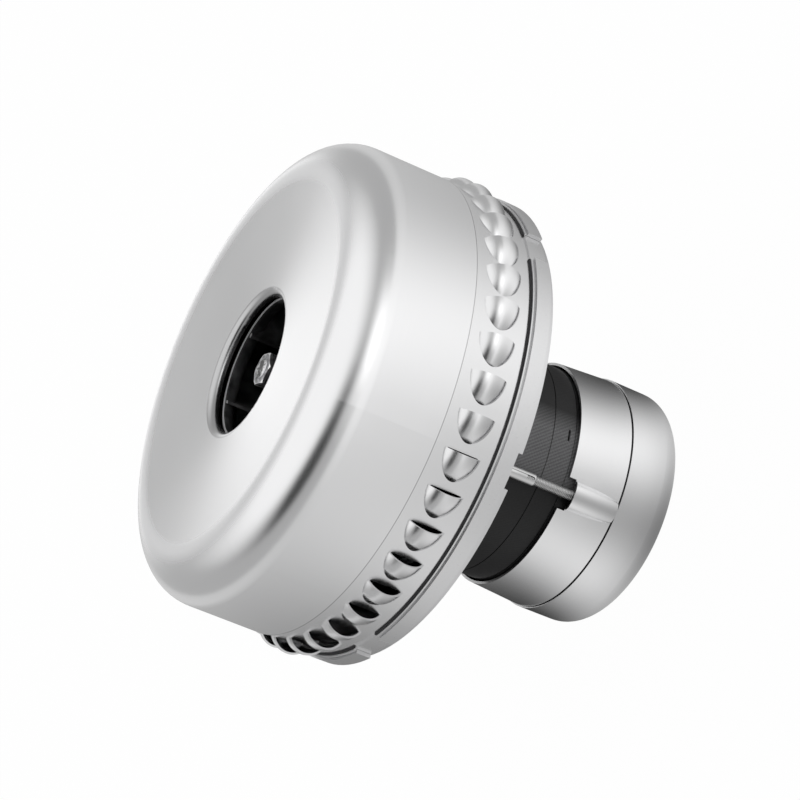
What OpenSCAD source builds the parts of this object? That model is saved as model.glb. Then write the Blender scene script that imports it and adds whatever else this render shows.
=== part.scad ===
// Vacuum motor unit: a two-stage fan under a drawn can, blown out through a ring of pressed scoops,
// on a mounting flange, with a separately cooled series motor below it.
// The unit stands on its end cap; Z is the shaft axis and points at the air inlet; lengths are millimetres.

/* [Fan can] */
// Outer diameter of the fan can at its rounded shoulder
can_d = 184.2; // [170:0.2:200]
// How much the skirt's radius grows from the shoulder to the seam
can_taper = 0.4; // [0:0.1:1]
// Radius of the rounded shoulder
can_shoulder = 16.4; // [10:0.2:20]
// Depth of the shallow dish in the front face, from the crown to the inlet
face_dish = 3.15; // [1:0.05:5]
// Wall of the can
can_wall = 1.0; // [0.8:0.1:1.4]
// Narrowest diameter of the air inlet
inlet_d = 54.8; // [44:0.2:58]
// Outer radius of the inlet's rolled lip
lip_r = 2.8; // [2:0.05:3.2]
// Straight part of the inlet wall below the rolled lip
lip_straight = 1.0; // [0.8:0.1:2]
// Axial gap between the inlet lip and the front impeller's eye
eye_gap = 2.05; // [1.5:0.05:4]

/* [Louvre ring] */
// Sheet thickness of the louvre ring and its scoops
ring_wall = 0.8; // [0.6:0.1:1.2]
// Step from the can's skirt down to the louvre ring, in radius
seam_step = 0.5; // [0.3:0.05:0.8]
// Length of the ring's joggled neck inside the can
neck_l = 6; // [4:0.5:9]
// Number of scoops around the ring
scoop_count = 40; // [32:4:44]
// Width of one scoop's mouth along the shaft, at the ring's surface
scoop_w = 14.8; // [12:0.2:15.6]
// Height of a scoop's lip above the ring
scoop_rise = 4.4; // [3:0.1:5]
// Length of the pointed pod that shapes a scoop, behind its mouth
scoop_l = 13.5; // [12:0.5:15]
// Angle by which a scoop's back dives into the ring
scoop_dive = 3; // [1:0.5:5]
// Angle of the first scoop's mouth from the through bolt
scoop_start = -0.4; // [-2:0.1:2]
// Height of the scoops' centre line above the rear impeller's back plate
scoop_lift = 8.9; // [8:0.1:10]

/* [Mounting flange] */
// Thickness of the flange's web
web_t = 2.6; // [2:0.1:4]
// How far the rim stands out past the louvre ring, in radius
rim_out = 2.2; // [1.8:0.1:3]
// Height of the rim's outer face
rim_h = 5.9; // [4:0.1:6.5]
// How far the rim reaches below the top of the web
rim_drop = 1.2; // [0.8:0.1:1.6]
// Width of each notch in the rim, in degrees
notch_w = 9.5; // [6:0.5:12]
// Angle of the notches from the plane of the bolts
notch_a = 57.4; // [45:0.2:65]
// Height of the raised ring behind the rim
back_h = 3.4; // [2.6:0.1:4]
// How far the raised ring lies inside the rim's outer edge
back_in = 3.7; // [3:0.1:5]
// Radial width of the raised ring
back_w = 6; // [4:0.5:8]
// Width of the gap in the raised ring at each bolt, in degrees
back_gap = 8.6; // [6:0.2:14]
// Height of the front bearing boss above the web
boss_rise = 7.6; // [6:0.2:9]
// Thickness of the gasket under the louvre ring
gasket_t = 0.5; // [0.4:0.1:1]

/* [Impellers] */
// Diameter of both impellers
imp_d = 144; // [130:1:150]
// Height of an impeller from its back plate to the top of its eye
imp_h = 23.4; // [21:0.2:26]
// Outer diameter of the impeller's eye
eye_d = 57; // [52:0.5:60]
// Radius of the flare between the eye and the shroud
flare_r = 5; // [4:0.5:6]
// Blade height at the impeller's rim
blade_h = 11; // [8:0.5:12]
// Sheet thickness of back plates and blades
blade_t = 1.0; // [0.8:0.1:1.4]
// Sheet thickness of the shrouds
shroud_t = 0.8; // [0.6:0.1:1]
// Number of blades on each impeller
blade_count = 6; // [5:1:8]
// Radius of a blade's curve
blade_curve = 46; // [42:1:54]
// Height of the return vanes between the stages
vane_h = 8.8; // [6:0.2:11]
// Number of return vanes
vane_count = 12; // [8:1:14]
// Sheet thickness of the stage plate and the guide disc
plate_t = 0.8; // [0.6:0.1:1.2]

/* [Shaft and bearings] */
// Diameter of the shaft in the bearings and under the impellers
shaft_d = 8; // [7:0.5:8.5]
// Diameter of the shaft in the armature
core_shaft_d = 12; // [11:0.5:14]
// Outer diameter of the ball bearings
bearing_d = 22; // [21:0.5:24]
// Width of the ball bearings
bearing_w = 7; // [6:0.5:8]
// Diameter of the bearing balls
ball_d = 3.97; // [3.6:0.01:4.1]
// Number of balls in each bearing
ball_count = 7; // [6:1:7]
// Width of the fan nut across its flats
nut_af = 12; // [11:0.5:13]
// Height of the fan nut
nut_h = 6.5; // [5:0.1:7]

/* [Motor] */
// Outer diameter of the black motor frame
frame_d = 88; // [84:0.5:92]
// Wall of the motor frame
frame_wall = 1.6; // [1.2:0.1:2.2]
// Length of the lamination stack
stack_l = 26; // [22:0.5:30]
// Thickness of the stator's yoke
yoke_t = 7.8; // [7:0.1:8.8]
// Radial depth of the coil slots
slot_deep = 7; // [6:0.1:8]
// Thickness of the pole shoes
shoe_t = 3.2; // [2.6:0.1:4]
// Air gap between stator and armature
air_gap = 0.5; // [0.4:0.1:0.8]
// Length of the field coils beyond the stack at each end
coil_end = 5.5; // [4.5:0.1:7]
// Number of slots in the armature
armature_slots = 22; // [12:1:24]
// Diameter of the commutator
comm_d = 24; // [22:0.5:27]
// Thickness of a carbon brush, around the commutator
brush_t = 6.3; // [5:0.1:7]
// Height of a carbon brush, along the shaft
brush_h = 11; // [9:0.5:12]
// Length of a new carbon brush
brush_l = 20; // [17:0.5:21]

/* [Tail covers] */
// Height of the end cap
cap_h = 23.5; // [21:0.5:27]
// Corner radius of the end cap
cap_corner = 8; // [6:0.5:9]
// Wall of the end cap
cap_wall = 1.2; // [1:0.1:1.6]
// How far the cap stands proud of the sleeve, in radius
cap_proud = 0.5; // [0.4:0.1:1.2]
// Gap between the cap's edge and the sleeve
seam_gap = 0.5; // [0.2:0.1:0.8]
// Height of the motor sleeve
sleeve_h = 22.7; // [20:0.1:25]
// Wall of the motor sleeve
sleeve_wall = 1.0; // [0.8:0.1:1.3]
// Growth of the sleeve's radius from its rim to the cap
sleeve_flare = 1.6; // [1:0.1:2]
// Gap between the motor frame and the sleeve's rim
sleeve_gap = 0.9; // [0.7:0.1:1.2]
// Radius of the channel in the sleeve over each bolt end
channel_r = 5.7; // [5.5:0.1:6.4]
// How far the sleeve's rim is notched back at a channel
channel_notch = 3.2; // [2:0.1:4]
// Lean of a channel's mouth, rising outwards
channel_lean = 16.6; // [8:0.2:24]
// Length of motor frame between the sleeve's rim and the frame's seam
frame_show = 10.5; // [9:0.5:13]
// Diameter of the cooling fan
cool_d = 76; // [68:1:80]
// Number of blades on the cooling fan
cool_blades = 12; // [9:1:14]
// Number of air slots in the end cap
vent_count = 16; // [12:1:18]
// Width of an air slot
vent_w = 3.2; // [2.6:0.1:3.6]

/* [Bolts] */
// Diameter of the through bolts
bolt_d = 4; // [3.6:0.1:4]
// Outer diameter of the slotted tubes on the bolts
tube_d = 4.8; // [4.8:0.1:5.2]
// Gap between a bolt tube and the motor frame
tube_gap = 0.6; // [0.5:0.1:0.9]
// Length of the slotted tubes
tube_l = 27.2; // [22:0.2:28]
// Diameter of the pan screws
screw_d = 4; // [3.6:0.1:4.2]

/* [Hidden] */
$fn = 96;

// Clearance where one rigid piece seats in or on another
seat = 0.05;
// Radial clearance where a turning piece passes a fixed one
run = 0.6;
// Overshoot of cutting shapes past the faces that they cut
cut = 1;

// Heights from the base, bottom to top: the tail
z_sleeve = cap_h;
z_rim = z_sleeve + sleeve_h;
z_split = z_rim + frame_show;
stack_seat = 3.3;
z_stack = z_split + stack_seat;
z_stack_top = z_stack + stack_l;
frame_top_gap = 0.3;
z_web = z_stack_top + coil_end + frame_top_gap;
z_web_top = z_web + web_t;

// Heights of the fan end
z_pan = z_web_top + gasket_t;
z_boss_top = z_web_top + boss_rise;
boss_lip = 1.5;
z_front_bearing = z_boss_top - boss_lip - bearing_w;
z_rear_imp = z_boss_top + 1.2;
collar_pass = 2.2;
z_stage = z_rear_imp + imp_h - collar_pass;
z_seam = z_stage - 0.9;
z_guide = z_stage + plate_t + vane_h;
z_front_imp = z_guide + plate_t + 2.2;
z_eye = z_front_imp + imp_h;
z_lip_end = z_eye + eye_gap;
z_lip = z_lip_end + lip_straight;
z_crown = z_lip + lip_r + face_dish;
z_scoop = z_rear_imp + scoop_lift;

// Radii of the fan end
can_r = can_d / 2;
skirt_r = can_r + can_taper;
ring_r = skirt_r - seam_step;
inlet_r = inlet_d / 2;
rim_r = ring_r + rim_out;
back_r = rim_r - back_in;
imp_r = imp_d / 2;
eye_r = eye_d / 2;
boss_r = bearing_d / 2 + 3.5;

// Radii of the motor
frame_r = frame_d / 2;
frame_in_r = frame_r - frame_wall;
stator_r = frame_in_r - seat;
yoke_r = stator_r - yoke_t;
shoe_r = yoke_r - slot_deep;
bore_r = shoe_r - shoe_t;
armature_r = bore_r - air_gap;
comm_r = comm_d / 2;
shaft_r = shaft_d / 2;
core_shaft_r = core_shaft_d / 2;
bolt_r = bolt_d / 2;
tube_r = tube_d / 2;
bolt_circle = frame_r + tube_gap + tube_r;

// Radii of the tail covers
rim_in_r = frame_r + sleeve_gap;
rim_out_r = rim_in_r + sleeve_wall;
sleeve_r = rim_out_r + sleeve_flare;
sleeve_slope = sleeve_flare / sleeve_h;
cap_r = sleeve_r + cap_proud;
cap_in_r = cap_r - cap_wall;

// Rear bearing and cooling fan, upwards from the collar that the cap sits on
collar_h = 4.5;
z_collar = z_sleeve - collar_h;
washer_t = 1;
z_wave = z_collar + boss_lip;
z_rear_bearing = z_wave + washer_t;
z_rear_boss_top = z_rear_bearing + bearing_w;
z_cool_top = z_collar - 1.5;
cool_disc_t = 1.2;
cool_blade_h = 8.5;
cool_nut_h = 4;

// Commutator and brushes, between the rear bearing and the armature's winding
winding_end = 9.5;
winding_top = 5;
z_comm = z_rear_boss_top + 3;
z_comm_top = z_stack - winding_end - 2.5;
z_brush = (z_comm + z_comm_top) / 2 - 0.4;
brush_face = comm_r + 0.1;
holder_wall = 0.8;
holder_in = 0.1;
holder_r0 = comm_r + 3;
holder_r1 = frame_r - 0.6;
cap_plug_t = 2;
box_wall = 1.5;

// The field coils and the slots that hold them
neck_half = 40;
coil_half = 74;
shoe_half = 62;

// Return guide: how far the vanes start outside the eye, and the circle that each vane follows
guide_lead = 3.5;
guide_curve = 52;
guide_off = 42;

// Fits of the small fixings
screw_r = screw_d / 2;
screw_circle = ring_r * 0.66;
head_r = screw_r * 2;
head_h = 2.4;
bolt_head_r = bolt_r * 1.95;
pad_r = bolt_head_r + 1.7;
counterbore = 2.5;

// Radii and heights shared by several pieces
hub_r = shaft_r + 3;
pitch_r = (bearing_d / 2 + shaft_r) / 2;
race_in_r = pitch_r - ball_d * 0.365;
race_out_r = pitch_r + ball_d * 0.365;
boss_hole_r = (bearing_d / 2 + core_shaft_r) / 2 - 0.2;
gasket_up = 0.65;
pan_corner = 1.8;
rim_groove_h = 0.65;
ridge_h = 0.55;
z_rim_bottom = z_web_top - rim_drop;
z_ridge_top = z_rim_bottom + rim_h + rim_groove_h + ridge_h;
gasket_rise = 5.9;
lug_nose = bolt_circle + 0.5;
lug_gap = 0.3;
channel_proud = 0.8;
line_w = 0.4;
rim_line_up = 0.8;
tab_sunk = 1;
lug_sunk = 0.4;
z_tube_top = z_web - 3.8;
z_bolt_end = z_rim - 9;
z_bolt_head = z_web_top - counterbore;
washer_h = 1.5;
z_nut = z_eye - 1.1 - nut_h;
z_shaft_tip = z_eye - 0.4;
z_shaft_end = z_cool_top - cool_blade_h - cool_disc_t - cool_nut_h - 0.8;
blade_start = 38.6;
slot_in_r = core_shaft_r + 6;
slot_half = 1.0;
holder_gap = holder_in + holder_wall + seat;
box_r0 = holder_r0 + 3;
notch_angles = [notch_a, 180 - notch_a, 180 + notch_a, -notch_a];
tab_angles = [28, 208];
tab_w = 4.6;
tab_t = 0.8;
z_tab = z_rim + 3.1;

function polar(r, a) = [r * cos(a), r * sin(a)];

// Copies its children around Z, the first at angle start
module around(count, start = 0) {
    for (i = [0 : count - 1])
        rotate([0, 0, start + i * 360 / count])
            children();
}

// A tube between two heights
module tube(r_out, r_in, z0, z1) {
    translate([0, 0, z0])
        difference() {
            cylinder(r = r_out, h = z1 - z0);
            translate([0, 0, -cut])
                cylinder(r = r_in, h = z1 - z0 + 2 * cut);
        }
}

// A solid disc between two heights
module disc(r, z0, z1) {
    translate([0, 0, z0])
        cylinder(r = r, h = z1 - z0);
}

// A pie slice of half-angle a about +X, long enough to cut at radius r
module slice(r, a, z0, z1) {
    long = r / cos(min(a, 50)) + cut;
    steps = a > 50 ? 6 : 1;
    fan = [for (i = [-steps : steps]) polar(long * 1.2, a * i / steps)];
    translate([0, 0, z0])
        linear_extrude(z1 - z0)
            polygon(concat([[0, 0]], fan));
}

// Part of a tube, of half-angle a about +X
module sector(r_out, r_in, a, z0, z1) {
    intersection() {
        tube(r_out, r_in, z0, z1);
        slice(r_out, a, z0 - cut, z1 + cut);
    }
}

// The can's half section without its wall: straight runs between the shoulder's and the lip's circles,
// each run ending a hair inside its circle so that the two cross cleanly
module can_region(o, drop) {
    hair = 0.01;
    shoulder = [can_r - can_shoulder, z_crown - can_shoulder];
    lip = [inlet_r + lip_r, z_lip];
    v = [skirt_r, z_seam] - shoulder;
    side_a = atan2(v[1], v[0]) + acos(can_shoulder / norm(v));
    w = shoulder - lip;
    face_a = atan2(w[1], w[0]) + acos((lip_r - can_shoulder) / norm(w));
    hem = [skirt_r + (drop * sin(side_a) - o) / cos(side_a), z_seam - drop];
    polygon([
        [inlet_r + o, z_seam - drop],
        hem,
        shoulder + polar(can_shoulder - o - hair, side_a),
        shoulder,
        shoulder + polar(can_shoulder - o - hair, face_a),
        lip + polar(lip_r - o - hair, face_a),
        lip,
        [inlet_r + o + hair, z_lip]
    ]);
    translate(shoulder)
        circle(r = can_shoulder - o);
    translate(lip)
        circle(r = lip_r - o);
}

// The drawn can: one sheet from the rolled inlet over the dished face and the shoulder down to its hem
module fan_can() {
    color("silver")
        rotate_extrude()
            difference() {
                can_region(0, 0);
                can_region(can_wall, cut);
                translate([inlet_r - cut, z_seam - cut])
                    square([can_wall + cut + 0.02, z_lip_end - z_seam + cut]);
            }
}

// A pointed pod lying along -Y: its radius falls from r0 at the mouth to a point at distance l, along an arc
module pod(r0, l) {
    bend = (r0 * r0 + l * l) / (2 * r0);
    rotate([90, 0, 0])
        rotate_extrude()
            intersection() {
                translate([r0 - bend, 0])
                    circle(r = bend);
                square([r0 + cut, l + cut]);
            }
}

// The pod that shapes one scoop: the ring's surface cuts its round mouth at the scoop's width
module scoop_pod(wall, ahead) {
    half = scoop_w / 2;
    mouth_r = (half * half + scoop_rise * scoop_rise) / (2 * scoop_rise);
    translate([ring_r + scoop_rise - mouth_r, 0, z_scoop])
        rotate([0, 0, -scoop_dive])
            translate([0, ahead, 0])
                pod(mouth_r - wall, scoop_l - wall);
}

// The opening under one scoop, a little inside the scoop's foot
module scoop_window() {
    half = scoop_w / 2 - ring_wall - 0.4;
    shape = [[0, 1], [-0.37, 0.8], [-0.63, 0.35]];
    translate([ring_r - 3, 0, z_scoop])
        rotate([90, 0, 90])
            linear_extrude(6)
                polygon(concat(
                    [for (p = shape) [p[0] * scoop_l, p[1] * half]],
                    [for (i = [2 : -1 : 0]) [shape[i][0] * scoop_l, -shape[i][1] * half]]));
}

// The louvre ring: a pan with a joggled neck, a hollow scoop over a window for every outlet,
// and a tab that fills each of the rim's notches
module louvre_ring() {
    color("silver") {
        difference() {
            union() {
                rotate_extrude()
                    ring_section();
                pan_tabs();
            }
            disc(boss_r + run, z_pan - cut, z_pan + ring_wall + cut);
            around(4, 45)
                translate([screw_circle, 0, z_pan - cut])
                    cylinder(r = screw_r + 0.2, h = ring_wall + 2 * cut);
            around(scoop_count, scoop_start)
                scoop_window();
        }
        around(scoop_count, scoop_start)
            difference() {
                scoop_pod(0, 0);
                scoop_pod(ring_wall, 0.2);
                disc(ring_r - ring_wall / 2, z_pan, z_seam);
            }
    }
}

// Four tabs that stand out of the ring's foot and hang down in the rim's notches
module pan_tabs() {
    z_foot = z_pan + pan_corner + 0.2;
    for (a = notch_angles)
        rotate([0, 0, a])
            intersection() {
                rotate_extrude()
                    polygon([
                        [ring_r + seat, z_rim_bottom],
                        [ring_r + gasket_up + seat, z_rim_bottom],
                        [ring_r + gasket_up + seat, z_ridge_top],
                        [ring_r - ring_wall / 2, z_ridge_top],
                        [ring_r - ring_wall / 2, z_foot],
                        [ring_r + seat, z_foot]
                    ]);
                slice(rim_r, notch_w / 2 - 0.1, z_rim_bottom - cut, z_ridge_top + cut);
            }
}

// The louvre ring's half section: the pan's floor, its rounded corner, the wall and the neck inside the can
module ring_section() {
    neck_r = skirt_r - can_wall - 0.15;
    wall_r = ring_r - ring_wall;
    corner = [ring_r - pan_corner, z_pan + pan_corner];
    difference() {
        union() {
            polygon([
                [0, z_pan],
                [corner[0], z_pan],
                corner,
                [ring_r, corner[1]],
                [ring_r, z_seam],
                [neck_r, z_seam],
                [neck_r, z_seam + neck_l],
                [0, z_seam + neck_l]
            ]);
            translate(corner)
                circle(r = pan_corner);
        }
        polygon([
            [0, z_pan + ring_wall],
            [corner[0], z_pan + ring_wall],
            corner,
            [wall_r, corner[1]],
            [wall_r, z_seam - 1.2],
            [neck_r - ring_wall, z_seam - 0.6],
            [neck_r - ring_wall, z_seam + neck_l + cut],
            [0, z_seam + neck_l + cut]
        ]);
        translate(corner)
            circle(r = pan_corner - ring_wall);
    }
}

// The plate between the stages: a shallow cup whose flange lies on the louvre ring's neck
module stage_plate() {
    top = z_seam + neck_l + seat;
    cup_r = skirt_r - can_wall - 0.15 - ring_wall - 0.1;
    flange_r = skirt_r - can_wall - 0.25;
    hole_r = eye_r + run;
    color("gainsboro")
        rotate_extrude()
            polygon([
                [hole_r, z_stage],
                [cup_r, z_stage],
                [cup_r, top],
                [flange_r, top],
                [flange_r, top + plate_t],
                [cup_r - plate_t, top + plate_t],
                [cup_r - plate_t, z_stage + plate_t],
                [hole_r + plate_t, z_stage + plate_t],
                [hole_r + plate_t, z_stage + plate_t + 1],
                [hole_r, z_stage + plate_t + 1]
            ]);
}

// A curved blade's outline from radius r0 to r1, its inner end at angle 0; it leans back against the turning
module blade_outline(r0, r1, curve, off, t) {
    a0 = acos((off * off + r0 * r0 - curve * curve) / (2 * off * r0));
    rotate(-a0)
        intersection() {
            difference() {
                circle(r = r1);
                circle(r = r0);
            }
            translate([off, 0])
                difference() {
                    circle(r = curve + t / 2);
                    circle(r = curve - t / 2);
                }
            translate([-2 * r1, 0])
                square([4 * r1, 2 * r1]);
        }
}

// Disc and curved vanes that lead the first stage's air back to the second stage's eye
module return_guide() {
    guide_r = imp_r + 12;
    color("gainsboro") {
        tube(guide_r, hub_r + run, z_guide, z_guide + plate_t);
        translate([0, 0, z_stage + plate_t])
            linear_extrude(vane_h + plate_t / 2)
                around(vane_count)
                    blade_outline(eye_r + guide_lead, guide_r - 0.5, guide_curve, guide_off, 1);
    }
}

// What the notches take out of the rim, between two radii and two heights
module notch_sectors(r_in, r_out, z0, z1) {
    for (a = notch_angles)
        rotate([0, 0, a])
            sector(r_out, r_in, notch_w / 2, z0, z1);
}

// Gasket between pan and flange, with a lip that rises inside the rim
module pan_gasket() {
    color("black")
        difference() {
            union() {
                tube(ring_r + gasket_up, boss_r + run, z_web_top, z_pan);
                tube(ring_r + gasket_up, ring_r + seat, z_web_top, z_pan + gasket_rise);
            }
            notch_sectors(ring_r + seat / 2, rim_r, z_web_top - cut, z_pan + gasket_rise + cut);
            around(4, 45)
                translate([screw_circle, 0, z_web_top - cut])
                    cylinder(r = screw_r + 0.2, h = gasket_t + 2 * cut);
        }
}

// The flange's half section: bearing boss, web, grooved rim with its thin ridge, and the raised ring behind
module flange_profile() {
    ridge_in = ring_r + gasket_up + seat;
    ridge_out = ridge_in + 0.65;
    groove_r = ridge_in + 0.3;
    z_groove = z_rim_bottom + rim_h;
    polygon([
        [bearing_d / 2, z_web],
        [back_r - back_w, z_web],
        [back_r - back_w, z_rim_bottom - back_h],
        [back_r, z_rim_bottom - back_h],
        [back_r, z_rim_bottom],
        [rim_r, z_rim_bottom],
        [rim_r, z_groove],
        [groove_r, z_groove],
        [groove_r, z_groove + rim_groove_h],
        [ridge_out, z_groove + rim_groove_h],
        [ridge_out, z_ridge_top],
        [ridge_in, z_ridge_top],
        [ridge_in, z_web_top],
        [boss_r, z_web_top],
        [boss_r, z_boss_top],
        [boss_hole_r, z_boss_top],
        [boss_hole_r, z_boss_top - boss_lip],
        [bearing_d / 2, z_boss_top - boss_lip]
    ]);
}

// The mounting flange, with a pad and a counterbore for each long bolt
module mounting_flange() {
    z_back = z_rim_bottom - back_h;
    color("silver")
        difference() {
            union() {
                rotate_extrude()
                    flange_profile();
                tube(frame_in_r - 0.1, frame_in_r - 2.1, z_web - 1.6, z_web + web_t / 2);
                for (a = [0, 180])
                    rotate([0, 0, a])
                        translate([bolt_circle, 0, z_tube_top])
                            cylinder(r = pad_r, h = z_web + web_t / 2 - z_tube_top);
            }
            for (a = [0, 180])
                rotate([0, 0, a]) {
                    sector(back_r + cut, back_r - back_w - cut, back_gap / 2, z_back - cut, z_rim_bottom);
                    translate([bolt_circle, 0, z_tube_top - cut])
                        cylinder(r = bolt_r + 0.15, h = z_web_top - z_tube_top + 2 * cut);
                    translate([bolt_circle, 0, z_web_top - counterbore])
                        cylinder(r = bolt_head_r + 0.4, h = counterbore + cut);
                }
            tube(frame_r + 0.2, frame_in_r - 0.1, z_web - 6, z_web);
            notch_sectors(ring_r + seat / 2, rim_r + cut, z_rim_bottom - cut, z_ridge_top + cut);
            around(4, 45)
                translate([screw_circle, 0, z_web - cut])
                    cylinder(r = screw_r + seat, h = web_t + 2 * cut);
        }
}

// Cross-headed screws through the pan and the gasket into the flange
module pan_screws() {
    z_head = z_pan + ring_wall;
    color("gray")
        around(4, 45)
            translate([screw_circle, 0, 0])
                difference() {
                    union() {
                        disc(screw_r, z_web, z_head + 0.1);
                        disc(head_r, z_head, z_head + head_h);
                    }
                    translate([0, 0, z_head + head_h - 1.3])
                        for (q = [0, 90])
                            rotate([0, 0, q])
                                translate([-2.2, -0.5, 0])
                                    cube([4.4, 1, 2]);
                }
}

// A thin line around the black frame, centred on height z
module frame_line(z) {
    tube(frame_r + cut, frame_r - line_w, z - line_w / 2, z + line_w / 2);
}

// The front half of the black frame, with a ledge on the stator and air windows under the flange
module front_frame() {
    ledge = 1.9;
    windows = 8;
    color("dimgray")
        difference() {
            union() {
                tube(frame_r, frame_in_r, z_split, z_web);
                tube(frame_r - 0.5, frame_in_r - ledge, z_stack_top, z_stack_top + 2);
            }
            frame_line(z_split);
            around(windows, 180 / windows)
                sector(frame_r + cut, frame_in_r - ledge - cut, 17, z_stack_top + 0.4, z_web + cut);
        }
}

// Removes everything above a channel's leaning mouth, in front of radius x0
module above_mouth(x0, lift, wide) {
    translate([rim_in_r, 0, z_rim - channel_notch + lift])
        rotate([0, -channel_lean, 0])
            translate([x0 - rim_in_r, -wide, 0])
                cube([frame_r, 2 * wide, sleeve_h]);
}

// One lug: a round nose that fills the channel and leans with it, on a neck back to the frame
module lug() {
    nose_r = channel_r - sleeve_wall - lug_gap;
    neck = nose_r * 0.78;
    low = z_bolt_end - z_sleeve - 2;
    difference() {
        on_channel()
            translate([0, 0, low])
                linear_extrude(sleeve_h - low) {
                    circle(r = nose_r);
                    translate([-nose_r - 3, -neck])
                        square([nose_r + 3, 2 * neck]);
                }
        disc(frame_r - 1, z_sleeve, z_split);
        above_mouth(frame_r - 4, -lug_sunk, frame_r);
    }
}

// The rear half of the black frame: brush boxes, bearing boss on four arms, lugs for the bolts, tab slots
module rear_frame() {
    arm_w = 9;
    boss_out = bearing_d / 2 + 3;
    ring_up = 2.5;
    ring_out = sleeve_r - sleeve_wall - ring_up * sleeve_slope - 0.1;
    box_w = brush_t + 2 * (holder_gap + box_wall);
    box_h = brush_h + 2 * (holder_gap + box_wall);
    color("black")
        difference() {
            union() {
                tube(frame_r, frame_in_r, z_sleeve, z_split);
                tube(cap_in_r - 0.1, frame_in_r - 2, z_collar, z_sleeve);
                tube(ring_out, frame_in_r, z_sleeve - 0.5, z_sleeve + ring_up);
                tube(frame_in_r - seat, frame_in_r - 3, z_split - 2, z_stack);
                tube(frame_in_r + 0.2, frame_in_r - 3, z_split - 4, z_split - 1.9);
                difference() {
                    union() {
                        disc(boss_out, z_collar, z_rear_boss_top);
                        around(4, 45)
                            translate([boss_out - 2, -arm_w / 2, z_collar])
                                cube([frame_in_r - boss_out + 2, arm_w, 4]);
                    }
                    disc(boss_hole_r, z_collar - cut, z_rear_boss_top + cut);
                    disc(bearing_d / 2, z_wave, z_rear_boss_top + cut);
                }
                for (a = [0, 180])
                    rotate([0, 0, a])
                        lug();
                for (a = [90, 270])
                    rotate([0, 0, a])
                        translate([box_r0, -box_w / 2, z_brush - box_h / 2])
                            cube([frame_r - 0.8 - box_r0, box_w, box_h]);
            }
            for (a = [0, 180])
                rotate([0, 0, a])
                    translate([bolt_circle, 0, z_bolt_end - 0.3])
                        cylinder(r = bolt_r + seat, h = z_split - z_bolt_end);
            frame_line(z_split);
            frame_line(z_rim + rim_line_up);
            for (a = [90, 270])
                rotate([0, 0, a])
                    translate([box_r0 - cut, -brush_t / 2 - holder_gap, z_brush - brush_h / 2 - holder_gap])
                        cube([frame_r, brush_t + 2 * holder_gap, brush_h + 2 * holder_gap]);
            for (a = tab_angles)
                rotate([0, 0, a])
                    translate([frame_in_r - 4, -tab_w / 2 - seat, z_tab - seat])
                        cube([8, tab_w + 2 * seat, tab_t + 2 * seat]);
        }
}

// Blade terminals, each ending inside its slot in the frame
module terminal_tabs() {
    color("goldenrod")
        for (a = tab_angles)
            rotate([0, 0, a])
                translate([frame_in_r - 7, -tab_w / 2, z_tab])
                    cube([7 + frame_wall - tab_sunk, tab_w, tab_t]);
}

// One pole's share of the stator's outline: the neck, and the shoe under the coil
module pole_outline() {
    intersection() {
        difference() {
            circle(r = yoke_r + 0.5);
            circle(r = bore_r);
        }
        polygon(concat([[0, 0]], [for (i = [-4 : 4]) polar(frame_r, neck_half * i / 4)]));
    }
    intersection() {
        difference() {
            circle(r = shoe_r);
            circle(r = bore_r);
        }
        polygon(concat([[0, 0]], [for (i = [-6 : 6]) polar(frame_r, shoe_half * i / 6)]));
    }
}

// The stator's stack: a yoke ring with two poles
module stator_core() {
    color("slategray")
        translate([0, 0, z_stack])
            linear_extrude(stack_l) {
                difference() {
                    circle(r = stator_r);
                    circle(r = yoke_r);
                }
                pole_outline();
                rotate(180)
                    pole_outline();
            }
}

// A field coil around the pole at angle a
module field_coil(a) {
    color("chocolate")
        rotate([0, 0, a])
            difference() {
                sector(yoke_r - 0.1, shoe_r + 0.1, coil_half, z_stack - coil_end, z_stack_top + coil_end);
                sector(yoke_r + 1, shoe_r - 1, neck_half + 0.4, z_stack - 0.1, z_stack_top + 0.1);
            }
}

module field_coil_a() {
    field_coil(0);
}

module field_coil_b() {
    field_coil(180);
}

// The two long bolts, from the flange's counterbores into the lugs
module through_bolts() {
    color("silver")
        for (a = [0, 180])
            rotate([0, 0, a])
                translate([bolt_circle, 0, 0])
                    difference() {
                        union() {
                            disc(bolt_r, z_bolt_end, z_bolt_head + 0.1);
                            disc(bolt_head_r, z_bolt_head, z_bolt_head + head_h);
                        }
                        translate([0, 0, z_bolt_head + head_h - 1.3])
                            for (q = [0, 90])
                                rotate([0, 0, q])
                                    translate([-2.2, -0.5, 0])
                                        cube([4.4, 1, 2]);
                    }
}

// A slotted tube on each bolt, under the flange's pad
module bolt_tubes() {
    slot_w = 1.3;
    color("silver")
        for (a = [0, 180])
            rotate([0, 0, a])
                translate([bolt_circle, 0, 0])
                    rotate([0, 0, 15])
                        difference() {
                            tube(tube_r, bolt_r + seat, z_tube_top - tube_l, z_tube_top);
                            translate([0, -slot_w / 2, z_tube_top - tube_l + 1.1])
                                cube([tube_r + cut, slot_w, tube_l]);
                            translate([0, 0, z_tube_top - tube_l + 1.1])
                                rotate([0, 90, 0])
                                    cylinder(r = slot_w / 2, h = tube_r + cut, $fn = 32);
                        }
}

// The sleeve's wall as a half section, grown outwards or cut inwards
module sleeve_cone(o, z0, z1) {
    rotate_extrude()
        polygon([
            [0, z0],
            [sleeve_r - o - sleeve_slope * (z0 - z_sleeve), z0],
            [sleeve_r - o - sleeve_slope * (z1 - z_sleeve), z1],
            [0, z1]
        ]);
}

// Lays its children along a channel's axis, which leans from under the cap's edge outwards to the bolt's end
module on_channel() {
    r_low = cap_r + channel_proud - channel_r;
    lean = atan2(lug_nose - r_low, sleeve_h - 0.9);
    translate([r_low, 0, z_sleeve])
        rotate([0, lean, 0])
            children();
}

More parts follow.
